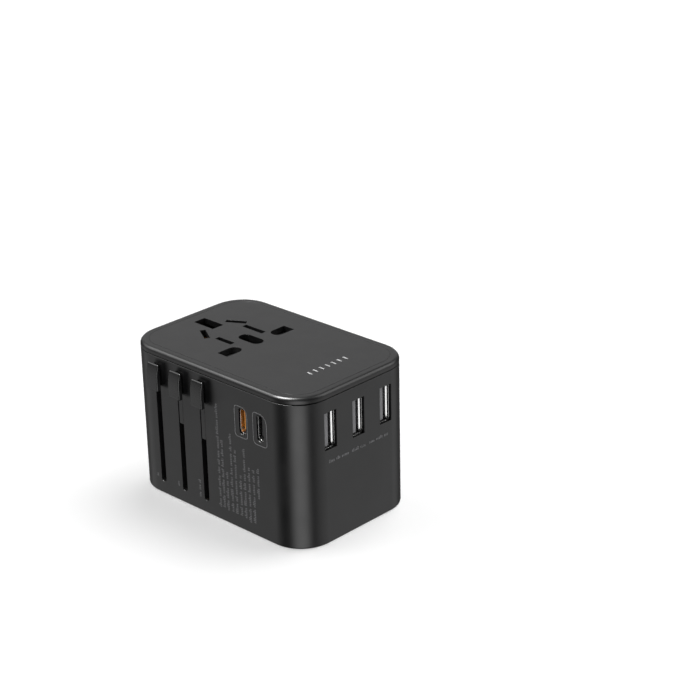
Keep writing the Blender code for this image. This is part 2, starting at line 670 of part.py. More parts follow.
def make_us_plug():
    knob = make_knob("us")
    low = US_CARRIER_Z
    top = low + US_CARRIER_THICK
    lip_z = low + 1.0
    bore = 3.4
    inner = UK_EARTH_PIN[1] / 2 + GAP + 0.1
    outer = US_BLADE_Y + bore + 0.7
    left = US_X - bore - 0.7
    right = UK_EARTH_X + UK_EARTH_PIN[0] / 2 + GAP + 0.3
    carrier = part("us_carrier", box((left, -outer, low), (right + 3, outer, top)), inner_plastic)
    cut(carrier, box((left - 1, -inner, low - 1), (right, inner, top + 1)))
    arm, lip = arm_end("us", -outer + 0.5)
    riser_y = -outer - GAP - 0.6
    riser = centred(SLOT_X["us"], riser_y, (ARM_WIDTH - 0.2, 1.2), low + 1.6, ARM_Z["us"] + ARM_TALL - 0.1)
    link = box((SLOT_X["us"] - 0.7, riser_y, low + 1.7), (SLOT_X["us"] + 0.7, -outer + 0.4, low + 4.3))
    join(carrier, arm, lip, riser, link)
    lid = box((left, -outer, top + GAP), (right + 3, outer, top + GAP + 0.9))
    cap = part("us_carrier_cap", lid, inner_plastic)
    cut(cap, box((left - 1, -inner, top), (right, inner, top + 3)))
    for i, side in enumerate((-1, 1), 1):
        y = side * US_BLADE_Y
        cut(carrier, rod((US_X, y, lip_z), (US_X, y, top + 1), bore, 32),
            rod((US_X, y, low - 1), (US_X, y, lip_z + 1), 2.5, 24))
        tip = US_TRAVEL - US_BLADE_LENGTH
        body = centred(US_X, y, US_BLADE, tip, low - GAP)
        round_rim(body, 2, tip, 0.45, 1)
        blade = part(f"us_blade_{i}", body, nickel)
        join(blade, centred(US_X, y, (3.8, US_BLADE[1]), low - 1, lip_z + 1),
             rod((US_X, y, lip_z + GAP), (US_X, y, top - GAP), bore - GAP, 32))
        cut(blade, rod((US_X, y - 2, tip + 4.5), (US_X, y + 2, tip + 4.5), 1.55, 20))
        mover(f"us_blade_turn_{i}", (US_X, y, low), blade)
    mover("us_slide", (US_X, 0, low), knob, carrier, cap)


def make_guide_frame():
    left = EU_X + EU_BODY_HALF[0] + 1.8
    right = UK_EARTH_X + UK_EARTH_PIN[0] / 2 + 4.0
    half_y = UK_PIN_Y + UK_PIN[1] / 2 + 1.1
    frame = part("guide_frame", box((left, -half_y, FRAME_Z), (right, half_y, FRAME_TOP)), inner_plastic)
    join(frame, box((FRAME_SCREWS[0][0] - 2.6, FRAME_SCREWS[0][1] - 2.4, FRAME_Z),
                    (FRAME_SCREWS[1][0] + 2.6, -half_y + 1, FRAME_TOP)))
    cut(frame, *pin_openings(FRAME_Z - 1, FRAME_TOP + 1, PIN_PLAY + 0.1))
    for x, y in FRAME_SCREWS:
        cut(frame, rod((x, y, FRAME_Z - 1), (x, y, FRAME_TOP + 1), SCREW_R + GAP, 16))


# ---------------------------------------------------------------- fuse

def fuse_door_block(grow, low_z, high_z):
    x, y = FUSE_XY[0], FUSE_XY[1] + 0.2
    half_x = FUSE_DOOR[0] / 2 + grow
    half_y = FUSE_DOOR[1] / 2 + grow
    return rounded_box((x - half_x, y - half_y, low_z), (x + half_x, y + half_y, high_z), 0.8, 3)


def make_fuse():
    x, y = FUSE_XY
    door = part("fuse_door", fuse_door_block(0, 0, FUSE_DOOR[2]), casing)
    edge = x + FUSE_DOOR[0] / 2
    cut(door, rod((edge, y, -1), (edge, y, 0.8), 2.2, 24))
    base = FUSE_DOOR[2] + GAP
    fuse = part("fuse", rod((x, y, base), (x, y, base + FUSE_LENGTH), FUSE_R - 0.15, 32), ceramic)
    for low in (base, base + FUSE_LENGTH - 5.0):
        join(fuse, rod((x, y, low), (x, y, low + 5.0), FUSE_R, 32))
    mover("fuse_slide", (x, y, 0), door, fuse)
    wall_y = y - FUSE_R - GAP - SHEET - GAP
    part("fuse_cradle", box((x - 4, wall_y - 0.9, FLOOR + GAP), (x + 4, wall_y, base + FUSE_LENGTH)),
         inner_plastic)
    for name, low in (("fuse_clip_low", base + 1.5), ("fuse_clip_high", base + FUSE_LENGTH - 4.5)):
        path = arc((x, y), FUSE_R + GAP + SHEET / 2, 175, 365, 14)
        clip = part(name, ribbon(path, low, low + 3.5), brass)
        sheet = clip.modifiers.new("sheet", "SOLIDIFY")
        sheet.thickness = SHEET * MM
        sheet.offset = 0
        sheet.use_even_offset = True


# ---------------------------------------------------------------- USB charger

def make_usb_a(index, y):
    tall, wide = USB_A_INSIDE
    front = LENGTH / 2 - PORT_RECESS - GAP
    back = front - USB_A_DEPTH
    sheet = USB_SHEET
    shell = part(f"usb_a_shell_{index}", box((back, y - wide / 2 - sheet, USB_Z - tall / 2 - sheet),
                                             (front, y + wide / 2 + sheet, USB_Z + tall / 2 + sheet)), steel)
    cut(shell, box((back - 1, y - wide / 2, USB_Z - tall / 2), (front + 1, y + wide / 2, USB_Z + tall / 2)))
    base = box((back, y - wide / 2 + GAP, USB_Z - tall / 2 + GAP),
               (back + 4.5, y + wide / 2 - GAP, USB_Z + tall / 2 - GAP))
    tongue = part(f"usb_a_tongue_{index}", base, port_plastic)
    near, far = USB_A_TONGUE
    join(tongue, box((back + 1, y - wide / 2 + near, USB_Z - tall / 2 + near),
                     (front - USB_A_TONGUE_BACK, y - wide / 2 + far, USB_Z + tall / 2 - near)))


def make_usb_c(index, x):
    tall, wide = USB_C_INSIDE
    front = -WIDTH / 2 + USB_C_RECESS + GAP
    back = front + USB_C_DEPTH
    sheet = USB_SHEET
    shell = part(f"usb_c_shell_{index}", obround_y(x, wide + 2 * sheet, tall + 2 * sheet, front, back), steel)
    cut(shell, obround_y(x, wide, tall, front - 1, back + 1))
    tongue = part(f"usb_c_tongue_{index}", obround_y(x, wide - 2 * GAP, tall - 2 * GAP, back - 2.2, back),
                  (orange_plastic, port_plastic)[index - 1])
    half = tall / 2 - USB_C_TONGUE
    join(tongue, box((x - USB_C_TONGUE / 2, front + USB_C_TONGUE_BACK, USB_Z - half),
                     (x + USB_C_TONGUE / 2, back - 1, USB_Z + half)))


def make_charger():
    for i, k in enumerate((-1, 0, 1), 1):
        make_usb_a(i, k * USB_A_PITCH)
    for i, x in enumerate(USB_C_X, 1):
        make_usb_c(i, x)
    low = BOARD_TOP - BOARD_THICK
    behind = -WIDTH / 2 + USB_C_RECESS + GAP + USB_C_DEPTH + GAP
    part("charger_board", box((12.0, behind - 0.5, low),
                              (LENGTH / 2 - WALL - 1, INNER_Y - POST_INSET - POST_R - GAP, BOARD_TOP)), board)
    usb_a_back = LENGTH / 2 - PORT_RECESS - GAP - USB_A_DEPTH
    part("port_board", box((USB_C_X[0] - 3.2, behind, BOARD_TOP + GAP),
                           (min(USB_C_X[1] + 2.0, usb_a_back - GAP), behind + 1.0, USB_Z + 5.5)), board)
    core = rounded_box((17.0, -8.0, low - GAP - 15), (31.0, 6.0, low - GAP), 1.0, 2)
    part("transformer", core, copper_tape)
    for i, (x, y) in enumerate(((17.5, 12.5), (28.5, 12.5)), 1):
        can = rod((x, y, low - GAP - 16), (x, y, low - GAP), 4.6, 32)
        part(f"capacitor_{i}", round_rim(can, 2, low - GAP - 16, 0.5, 2), capacitor_sleeve)


# ---------------------------------------------------------------- build

clear_scene()
parts = collection("universal_travel_adapter")
tools = collection("shaping_solids")

casing = material("matte_casing", (0.035, 0.035, 0.037), 0.5)
face = material("matte_face", (0.04, 0.04, 0.042), 0.55)
inner_plastic = material("inner_plastic", (0.03, 0.03, 0.03), 0.6)
port_plastic = material("port_plastic", (0.02, 0.02, 0.02), 0.5)
orange_plastic = material("orange_plastic", (0.8, 0.23, 0.03), 0.45)
nickel = material("nickel_plate", (0.72, 0.7, 0.66), 0.25, 1.0)
brass = material("brass", (0.75, 0.55, 0.25), 0.3, 1.0)
steel = material("steel", (0.6, 0.6, 0.6), 0.3, 1.0)
ceramic = material("fuse_ceramic", (0.75, 0.73, 0.68), 0.4)
board = material("circuit_board", (0.02, 0.09, 0.04), 0.5)
copper_tape = material("transformer_tape", (0.65, 0.5, 0.08), 0.4)
capacitor_sleeve = material("capacitor_sleeve", (0.03, 0.04, 0.07), 0.35)

make_main_shell()
make_top_cover()
make_socket_plate()
make_screws()
make_contact_carrier()
make_shutter()
make_shutter_spring()
make_contacts()
make_eu_plug()
make_uk_plug()
make_us_plug()
make_guide_frame()
make_fuse()
make_charger()
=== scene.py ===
# %% [markdown]
# # A universal travel adapter
# The adapter is a pocket block of black plastic. One end holds a world socket, the other holds three
# plugs that slide out when a finger pushes a knob, and two walls hold USB ports.
# The sizes, joints and fits come from a finished CAD model. This file gives every piece its looks:
# eased edges, crowned knobs, printed marks, plating and moulded grain. It starts by loading the CAD
# model, because every later place is read from it.

# %% Load the CAD model
import json
import random
from math import cos, pi, radians, sin

import bmesh
import bpy
from mathutils import Matrix, Vector
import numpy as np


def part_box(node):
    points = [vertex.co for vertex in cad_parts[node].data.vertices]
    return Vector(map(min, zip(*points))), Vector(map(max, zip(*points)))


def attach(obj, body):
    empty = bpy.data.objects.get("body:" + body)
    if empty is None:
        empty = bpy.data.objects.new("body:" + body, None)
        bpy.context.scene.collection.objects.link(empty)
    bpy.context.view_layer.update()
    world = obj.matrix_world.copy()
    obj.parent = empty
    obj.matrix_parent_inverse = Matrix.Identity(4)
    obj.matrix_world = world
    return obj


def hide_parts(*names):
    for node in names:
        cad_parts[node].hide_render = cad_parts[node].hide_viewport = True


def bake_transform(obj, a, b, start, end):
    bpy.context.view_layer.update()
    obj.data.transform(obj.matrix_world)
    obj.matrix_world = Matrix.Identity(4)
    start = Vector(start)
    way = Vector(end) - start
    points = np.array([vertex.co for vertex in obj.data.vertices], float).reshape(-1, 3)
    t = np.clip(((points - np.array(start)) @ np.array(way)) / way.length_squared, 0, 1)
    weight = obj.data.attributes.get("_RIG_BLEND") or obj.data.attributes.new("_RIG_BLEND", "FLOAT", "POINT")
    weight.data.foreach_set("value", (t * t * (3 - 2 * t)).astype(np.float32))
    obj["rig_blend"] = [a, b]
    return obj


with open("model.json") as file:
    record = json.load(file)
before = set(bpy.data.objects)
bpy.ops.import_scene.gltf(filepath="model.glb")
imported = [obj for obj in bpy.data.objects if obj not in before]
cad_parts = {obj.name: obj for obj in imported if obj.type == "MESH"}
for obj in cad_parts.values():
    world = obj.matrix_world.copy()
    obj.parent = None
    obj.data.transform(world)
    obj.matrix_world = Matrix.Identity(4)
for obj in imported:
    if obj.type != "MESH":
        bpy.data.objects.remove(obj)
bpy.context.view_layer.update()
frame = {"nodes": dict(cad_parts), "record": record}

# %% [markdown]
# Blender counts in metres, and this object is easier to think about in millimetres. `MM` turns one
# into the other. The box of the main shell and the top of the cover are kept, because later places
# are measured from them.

MM = 0.001
shell_low, shell_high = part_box("main_shell")
cover_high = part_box("top_cover")[1]
centre = (shell_low + shell_high) / 2

# %% [markdown]
# ## The camera
# A product photographer stands well back and uses a long lens, which keeps the upright edges almost
# parallel. The camera is placed on a sphere around the casing: an angle around it, an angle above it
# and a distance. It leans by about one degree, and it aims beside the adapter, because the adapter
# stands left of the middle of the picture.

# %% Camera
CAMERA_AROUND = radians(43.89)
CAMERA_ABOVE = radians(23.26)
CAMERA_LEAN = radians(-1.2)
CAMERA_DISTANCE = 599.1 * MM
AIM_RIGHT = 25.41 * MM
AIM_UP = 21.92 * MM
AIM_HEIGHT = 25.5 * MM
LENS_MM = 95.90
SENSOR_MM = 36.0

back = Vector((sin(CAMERA_AROUND) * cos(CAMERA_ABOVE), -cos(CAMERA_AROUND) * cos(CAMERA_ABOVE),
               sin(CAMERA_ABOVE)))
level = Vector((cos(CAMERA_AROUND), sin(CAMERA_AROUND), 0))
lean = Matrix.Rotation(CAMERA_LEAN, 3, back)
right = lean @ level
up = lean @ back.cross(level)
aim = Vector((centre.x, centre.y, AIM_HEIGHT)) + right * AIM_RIGHT + up * AIM_UP

camera_data = bpy.data.cameras.new("product_camera")
camera_data.lens = LENS_MM
camera_data.sensor_width = SENSOR_MM
camera_data.clip_start = 0.01
camera = bpy.data.objects.new("product_camera", camera_data)
camera.matrix_world = Matrix.Translation(aim + back * CAMERA_DISTANCE) @ Matrix(
    (right, up, back)).transposed().to_4x4()
bpy.context.scene.collection.objects.link(camera)
bpy.context.scene.camera = camera
print("camera at, in mm:", [round(c / MM, 1) for c in camera.location])

# %% [markdown]
# ## Two small helpers for node trees
# Colours are easiest to pick as the hex values that a screen shows, but Blender's nodes want linear
# light. `linear` turns one into the other. `add` makes one node, fills in its settings and connects
# it, so that a material below reads like a list of what happens to the surface.

# %% Node helpers
def linear(hex_colour):
    """A screen colour such as #303133 as linear red, green, blue and alpha."""
    channels = [int(hex_colour[i:i + 2], 16) / 255 for i in (1, 3, 5)]
    return (*[c / 12.92 if c <= 0.04045 else ((c + 0.055) / 1.055) ** 2.4 for c in channels], 1.0)


def add(tree, kind, inputs=None, links=None, **settings):
    """Adds one node to a tree, with its settings, its input values and its links."""
    node = tree.nodes.new("ShaderNode" + kind)
    for name, value in settings.items():
        setattr(node, name, value)
    for name, value in (inputs or {}).items():
        node.inputs[name].default_value = value
    for name, source in (links or {}).items():
        tree.links.new(source, node.inputs[name])
    return node


print("mid grey in linear light:", round(linear("#808080")[0], 3))

# %% [markdown]
# ## Studio light
# Black plastic shows almost nothing of its own colour. What the eye sees on it is the studio, mirrored
# softly: a pale zone gives a grey wall, and a gap between two pale zones gives the dark bands beside a
# round corner. So the studio is drawn into the world's light as a few soft round zones, each with a
# direction, a brightness and the angles from its middle at which it is full and gone. Each zone is
# there for one band of light on the casing, which its comment names. Where the camera looks past the
# adapter it sees plain white paper, because a Light Path node tells its rays from all others.

# %% World light
ZONES = (
    # direction                brightness  full   gone
    ((-0.66, 0.70, 0.28), 0.50, 16, 34),     # behind: lifts the socket face
    ((-0.65, -0.32, 0.69), 2.00, 12, 37),    # left: the light line on the rim above the knobs
    ((0.45, 0.66, 0.60), 2.20, 9, 32),       # right: the light line on the rim above the USB wall
    ((-0.76, -0.52, -0.39), 0.55, 14, 34),   # low left: the wall with the knobs
    ((0.62, -0.67, -0.40), 2.20, 4, 33),     # low front: the light band down the front corner
    ((0.64, -0.76, 0.08), 1.40, 4, 24),      # front: the rim below the bright spot
    ((0.70, 0.59, -0.39), 0.66, 15, 47),     # low right: the wall with the USB-A ports
    ((-0.66, 0.66, -0.36), 0.12, 10, 40),    # low behind, for the far walls
)
GAP_LIGHT = 0.06

world = bpy.data.worlds.new("white_studio")
bpy.context.scene.world = world
world.use_nodes = True
sky = world.node_tree
sky.nodes.clear()
looking = add(sky, "TexCoord").outputs["Generated"]
light = add(sky, "Value").outputs[0]
light.default_value = GAP_LIGHT
for direction, brightness, full, gone in ZONES:
    facing = add(sky, "VectorMath", {1: Vector(direction).normalized()}, {0: looking},
                 operation="DOT_PRODUCT")
    zone = add(sky, "MapRange", {"From Min": cos(radians(gone)), "From Max": cos(radians(full)),
                                 "To Max": brightness},
               {"Value": facing.outputs["Value"]}, interpolation_type="SMOOTHSTEP")
    light = add(sky, "Math", {}, {0: light, 1: zone.outputs[0]}, operation="ADD").outputs[0]
studio = add(sky, "Background", {}, {"Color": light})
paper = add(sky, "Background", {"Color": linear("#FDFDFD")})
seen = add(sky, "LightPath").outputs["Is Camera Ray"]
mixed = add(sky, "MixShader", {}, {0: seen, 1: studio.outputs[0], 2: paper.outputs[0]})
add(sky, "OutputWorld", {}, {"Surface": mixed.outputs[0]})
bpy.context.scene.view_settings.view_transform = "Standard"
print("studio zones:", len(ZONES))

# %% [markdown]
# ## Floor
# The adapter stands on a wide sheet of white paper. The paper is a plain diffuse surface with a little
# glow, so that it stays nearly white and still takes a shadow. It is kept out of reflections, because
# the zones above already draw what the walls mirror, and its underside is clear, so that the plug face
# can be looked at from below.

# %% Paper floor
FLOOR_REACH = 3.0
PAPER_GLOW = 0.43
floor_mesh = bpy.data.meshes.new("paper_floor")
sheet = bmesh.new()
bmesh.ops.create_grid(sheet, x_segments=8, y_segments=8, size=FLOOR_REACH)
sheet.to_mesh(floor_mesh)
sheet.free()
floor = bpy.data.objects.new("paper_floor", floor_mesh)
bpy.context.scene.collection.objects.link(floor)
paper_floor = bpy.data.materials.new("matte_white_paper")
paper_floor.use_nodes = True
tree = paper_floor.node_tree
tree.nodes.clear()
matte = add(tree, "BsdfDiffuse", {"Color": linear("#CCCCCC")})
glow = add(tree, "Emission", {"Color": linear("#FFFFFF"), "Strength": PAPER_GLOW})
lit = add(tree, "AddShader", {}, {0: matte.outputs[0], 1: glow.outputs[0]})
clear = add(tree, "BsdfTransparent")
under = add(tree, "NewGeometry").outputs["Backfacing"]
sided = add(tree, "MixShader", {}, {0: under, 1: lit.outputs[0], 2: clear.outputs[0]})
add(tree, "OutputMaterial", {}, {"Surface": sided.outputs[0]})
floor_mesh.materials.append(paper_floor)
floor.visible_glossy = False
floor.visible_diffuse = False
floor.visible_shadow = False
print("floor reaches", 2 * FLOOR_REACH, "m across")

# %% [markdown]
# ## Lamps
# Two lamps do what the zones can't. A sun as wide as forty degrees of the sky stands high behind the
# adapter and pulls a soft shadow forward and to the left. It shows in no reflection. A round lamp above
# the front corner does the opposite: it shows only in reflections, as the bright spot where the rim
# turns the corner.

# %% Shadow lamp and corner lamp
SUN_FROM = Vector((0.02, 0.42, 0.90))
SUN_STRENGTH = 2.1
SUN_WIDTH = radians(40)
CORNER_LAMP_FROM = Vector((-0.20, -0.36, 0.91)).normalized()
CORNER_LAMP_AWAY = 0.60
CORNER_LAMP_WIDTH = 0.28
CORNER_LAMP_WATTS = 10.0

sun_data = bpy.data.lights.new("shadow_lamp", "SUN")
sun_data.energy = SUN_STRENGTH
sun_data.angle = SUN_WIDTH
sun = bpy.data.objects.new("shadow_lamp", sun_data)
sun.rotation_euler = SUN_FROM.to_track_quat("Z", "Y").to_euler()
sun.visible_glossy = False
bpy.context.scene.collection.objects.link(sun)

spot_data = bpy.data.lights.new("corner_lamp", "AREA")
spot_data.shape = "DISK"
spot_data.size = CORNER_LAMP_WIDTH
spot_data.energy = CORNER_LAMP_WATTS
spot = bpy.data.objects.new("corner_lamp", spot_data)
spot.location = centre + CORNER_LAMP_FROM * CORNER_LAMP_AWAY
spot.rotation_euler = CORNER_LAMP_FROM.to_track_quat("Z", "Y").to_euler()
spot.visible_diffuse = False
bpy.context.scene.collection.objects.link(spot)

# %% [markdown]
# ## Moulded plastics
# The casing is a blend of polycarbonate and ABS. Its steel mould was etched by sparks, which leaves a
# fine even grain. To the eye that is a matte black that turns paler where it is seen at a shallow angle.
# A grain of a quarter of a millimetre is coarser than the real one, which would be too fine to show.
# `moulded` mixes two near blacks by that grain, varies the gloss in broad patches, as a mould wears,
# and lifts the grain slightly as bump.

# %% Moulded plastic helper
WEAR_MM = 9.0  # how broad a patch of the mould wears alike


def start(name):
    """A new material with an empty tree, and the object's own coordinates in metres."""
    made = bpy.data.materials.new(name)
    made.use_nodes = True
    made.node_tree.nodes.clear()
    place = add(made.node_tree, "TexCoord").outputs["Object"]
    return made, made.node_tree, place


def per_metre(size_mm):
    """How many times a pattern of that size in millimetres repeats in a metre."""
    return 1 / (size_mm * MM)


def moulded(name, dark, light, grain_mm, lift_mm, gloss, ior=1.55):
    """Moulded plastic: two close colours, grain of a real size, and gloss between two roughnesses."""
    made, tree, place = start(name)
    grain = add(tree, "TexNoise", {"Scale": per_metre(grain_mm), "Detail": 3.0}, {"Vector": place})
    patch = add(tree, "TexNoise", {"Scale": per_metre(WEAR_MM), "Detail": 2.0}, {"Vector": place})
    colour = add(tree, "ValToRGB", {}, {"Fac": grain.outputs["Fac"]})
    colour.color_ramp.elements[0].color = linear(dark)
    colour.color_ramp.elements[0].position = 0.3
    colour.color_ramp.elements[1].color = linear(light)
    colour.color_ramp.elements[1].position = 0.7
    rough = add(tree, "MapRange", {"From Min": 0.3, "From Max": 0.7, "To Min": gloss[0],
                                   "To Max": gloss[1]}, {"Value": patch.outputs["Fac"]})
    bump = add(tree, "Bump", {"Strength": 0.5, "Distance": lift_mm * MM},
               {"Height": grain.outputs["Fac"]})
    shader = add(tree, "BsdfPrincipled", {"IOR": ior},
                 {"Base Color": colour.outputs["Color"], "Roughness": rough.outputs[0],
                  "Normal": bump.outputs["Normal"]})
    add(tree, "OutputMaterial", {}, {"Surface": shader.outputs[0]})
    return made


print("casing grain per metre:", per_metre(0.25))

# %% [markdown]
# Each plastic then takes one line. The socket plate was polished less than the casing and is a touch
# paler. The knobs are the same plastic as the casing, but fingers have polished them, so they shine a
# little more. Nylon filled with glass is dull and uneven, because the fibres lie just under its skin.
# The tongues of the ports are a liquid crystal polymer, a stiff satin plastic that comes in any colour.

# %% Plastics of this adapter
casing_plastic = moulded("spark_etched_polycarbonate", "#0C0C0D", "#101011", 0.25, 0.003, (0.31, 0.37))
plate_plastic = moulded("satin_polycarbonate_plate", "#101011", "#141415", 0.25, 0.002, (0.33, 0.39))
knob_plastic = moulded("finger_worn_polycarbonate", "#0C0C0D", "#121213", 0.25, 0.002, (0.22, 0.28))
inner_nylon = moulded("glass_filled_nylon", "#0F0F10", "#1A1A1B", 0.5, 0.01, (0.5, 0.62))
tongue_polymer = moulded("liquid_crystal_polymer", "#1A1A1C", "#2A2A2D", 0.4, 0.004, (0.35, 0.45))
tongue_grey = moulded("grey_liquid_crystal_polymer", "#7C7C7E", "#8A8A8C", 0.4, 0.004, (0.4, 0.5))
tongue_orange = moulded("orange_liquid_crystal_polymer", "#F58F20", "#FFAE45", 0.4, 0.004, (0.3, 0.42))
sleeve_nylon = moulded("pin_sleeve_nylon", "#202021", "#2A2A2B", 0.3, 0.004, (0.35, 0.45))
print("plastics:", [m.name for m in bpy.data.materials if m.node_tree])

# %% [markdown]
# ## Plated and bare metals
# A pin is brass with bright nickel over it. A port's shell is stamped steel, which keeps faint lines
# from the rolling mill. A contact is bare spring brass. All of them are metals to the shader, with the
# default index of refraction. Their colour comes from the metal, and their gloss from how they were
# made: drawn lines are a noise stretched along one direction, a fifth of a millimetre across. That is
# coarser than the real lines, which would be too fine to show. Faint stains a few millimetres wide keep
# a plated face from looking like a mirror.

# %% Metal helper
LINE_MM = 0.2
LINE_STRETCH = 0.04  # a line is 25 times as long as it is wide
STAIN_MM = 5.0


def drawn_metal(name, dark, light, along, gloss, lift_mm=0.0003):
    """Metal with fine lines along X, Y or Z, left by drawing or rolling."""
    made, tree, place = start(name)
    stretch = [1.0, 1.0, 1.0]
    stretch["XYZ".index(along)] = LINE_STRETCH
    lined = add(tree, "Mapping", {"Scale": stretch}, {"Vector": place})
    lines = add(tree, "TexNoise", {"Scale": per_metre(LINE_MM), "Detail": 2.0},
                {"Vector": lined.outputs[0]})
    stain = add(tree, "TexNoise", {"Scale": per_metre(STAIN_MM), "Detail": 3.0}, {"Vector": place})
    colour = add(tree, "ValToRGB", {}, {"Fac": stain.outputs["Fac"]})
    colour.color_ramp.elements[0].color = linear(dark)
    colour.color_ramp.elements[0].position = 0.35
    colour.color_ramp.elements[1].color = linear(light)
    colour.color_ramp.elements[1].position = 0.65
    rough = add(tree, "MapRange", {"From Min": 0.3, "From Max": 0.7, "To Min": gloss[0],
                                   "To Max": gloss[1]}, {"Value": lines.outputs["Fac"]})
    bump = add(tree, "Bump", {"Strength": 0.4, "Distance": lift_mm * MM},
               {"Height": lines.outputs["Fac"]})
    shader = add(tree, "BsdfPrincipled", {"Metallic": 1.0},
                 {"Base Color": colour.outputs["Color"], "Roughness": rough.outputs[0],
                  "Normal": bump.outputs["Normal"]})
    add(tree, "OutputMaterial", {}, {"Surface": shader.outputs[0]})
    return made


print("metal lines per metre:", per_metre(LINE_MM))

# %% [markdown]
# Nickel is a warm bright grey, brass a soft gold, and the steel of the ports and of the spring plain
# grey. The screws are steel with a black zinc coat: still a metal, but a dark one.

# %% Metals of this adapter
nickel = drawn_metal("bright_nickel_on_brass", "#CFCAC2", "#E2DED6", "Z", (0.16, 0.26))
contact_brass = drawn_metal("bare_spring_brass", "#C49A52", "#DDB56A", "X", (0.25, 0.38))
port_steel = drawn_metal("stamped_nickel_steel", "#C9C9C9", "#E0E0DF", "X", (0.2, 0.3))
spring_steel = drawn_metal("drawn_spring_steel", "#9A9A98", "#B4B4B2", "X", (0.25, 0.35))
black_screw = drawn_metal("black_zinc_screw_steel", "#3A3A3B", "#505051", "Z", (0.3, 0.42))
fuse_cap_metal = drawn_metal("nickel_fuse_cap", "#BDBAB3", "#D4D1CA", "Z", (0.2, 0.3))
print("metals:", [m.name for m in (nickel, contact_brass, port_steel, spring_steel, black_screw)])

# %% [markdown]
# ## Finishes of the inner pieces
# The charger behind the USB ports has a green glass-fibre board, a transformer in yellow tape and two
# capacitors in shrunk sleeves. The fuse body is glazed steatite, a pale ceramic. They show only when the
# casing is opened, but each still gets its own grain: woven glass under the board's lacquer, wrapped
# layers on the tape, and a fine orange-peel glaze on the ceramic. A wave texture has one crest each
# 2 pi / 20 units at scale 1, which is where the `pi / 10` comes from.

# %% Ceramic, sleeves and the woven board
WEAVE_MM = 0.5
steatite = moulded("glazed_steatite", "#D9D3C4", "#E8E3D6", 0.8, 0.004, (0.18, 0.28), 1.6)
shrink_sleeve = moulded("shrunk_polyester_sleeve", "#14181F", "#1F2632", 1.2, 0.006, (0.25, 0.35))


def woven_board(name, dark, light):
    """Green lacquer over woven glass fibre: two crossed waves, half a millimetre apart."""
    made, tree, place = start(name)
    warp = add(tree, "TexWave", {"Scale": per_metre(WEAVE_MM) * pi / 10}, {"Vector": place},
               bands_direction="X")
    weft = add(tree, "TexWave", {"Scale": per_metre(WEAVE_MM) * pi / 10}, {"Vector": place},
               bands_direction="Y")
    weave = add(tree, "Math", {}, {0: warp.outputs["Fac"], 1: weft.outputs["Fac"]},
                operation="MULTIPLY")
    colour = add(tree, "ValToRGB", {}, {"Fac": weave.outputs[0]})
    colour.color_ramp.elements[0].color = linear(dark)
    colour.color_ramp.elements[1].color = linear(light)
    bump = add(tree, "Bump", {"Strength": 0.3, "Distance": 0.01 * MM},
               {"Height": weave.outputs[0]})
    rough = add(tree, "MapRange", {"To Min": 0.28, "To Max": 0.4}, {"Value": weave.outputs[0]})
    shader = add(tree, "BsdfPrincipled", {"IOR": 1.5},
                 {"Base Color": colour.outputs["Color"], "Roughness": rough.outputs[0],
                  "Normal": bump.outputs["Normal"]})
    add(tree, "OutputMaterial", {}, {"Surface": shader.outputs[0]})
    return made


green_board = woven_board("lacquered_glass_fibre", "#0B4A22", "#16683A")
print("threads of the weave per metre:", per_metre(WEAVE_MM))

# %% [markdown]
# The transformer's tape is wound round its core in level layers. A saw-shaped wave is right for that:
# each band rises slowly and ends in a step, like the edge of one layer on the next.

# %% Wound tape
def wrapped_tape(name, dark, light, layer_mm):
    """Polyester tape wound round a core: level bands as wide as a layer of tape."""
    made, tree, place = start(name)
    bands = add(tree, "TexWave", {"Scale": per_metre(layer_mm) * pi / 10, "Distortion": 1.5},
                {"Vector": place}, bands_direction="Z", wave_profile="SAW")
    colour = add(tree, "ValToRGB", {}, {"Fac": bands.outputs["Fac"]})
    colour.color_ramp.elements[0].color = linear(dark)
    colour.color_ramp.elements[1].color = linear(light)
    bump = add(tree, "Bump", {"Strength": 0.5, "Distance": 0.05 * MM},
               {"Height": bands.outputs["Fac"]})
    rough = add(tree, "MapRange", {"To Min": 0.22, "To Max": 0.36}, {"Value": bands.outputs["Fac"]})
    shader = add(tree, "BsdfPrincipled", {"IOR": 1.6},
                 {"Base Color": colour.outputs["Color"], "Roughness": rough.outputs[0],
                  "Normal": bump.outputs["Normal"]})
    add(tree, "OutputMaterial", {}, {"Surface": shader.outputs[0]})
    return made


yellow_tape = wrapped_tape("wound_polyester_tape", "#B8901C", "#E3BE45", 3.0)
print("inner finishes:", [m.name for m in (steatite, shrink_sleeve, green_board, yellow_tape)])

# %% [markdown]
# ## Eased edges
# A moulded edge is never perfectly sharp. It has a radius of one or two tenths of a millimetre, and
# that thin line catches the light. A Bevel modifier eases every edge above 35 degrees. A Weighted
# Normal modifier then keeps the big faces flat in the light and lets only the eased edges and the round
# corners turn. A piece with no edge to ease is only shaded smooth up to that angle.

# %% Eased edges
SHARP = radians(35)


def ease(piece, width_mm, segments=2):
    """Rounds a piece's sharp edges by a width and shades it smoothly."""
    if width_mm > 0:
        rounding = piece.modifiers.new("eased_edges", "BEVEL")
        rounding.width = width_mm * MM
        rounding.segments = segments
        rounding.limit_method = "ANGLE"
        rounding.angle_limit = SHARP
        rounding.use_clamp_overlap = False
        piece.data.shade_smooth()
        steady = piece.modifiers.new("steady_normals", "WEIGHTED_NORMAL")
        steady.keep_sharp = True
    else:
        piece.data.shade_smooth()
        piece.data.set_sharp_from_angle(angle=SHARP)
    return piece


print("edges above", round(SHARP * 180 / pi), "degrees are eased")
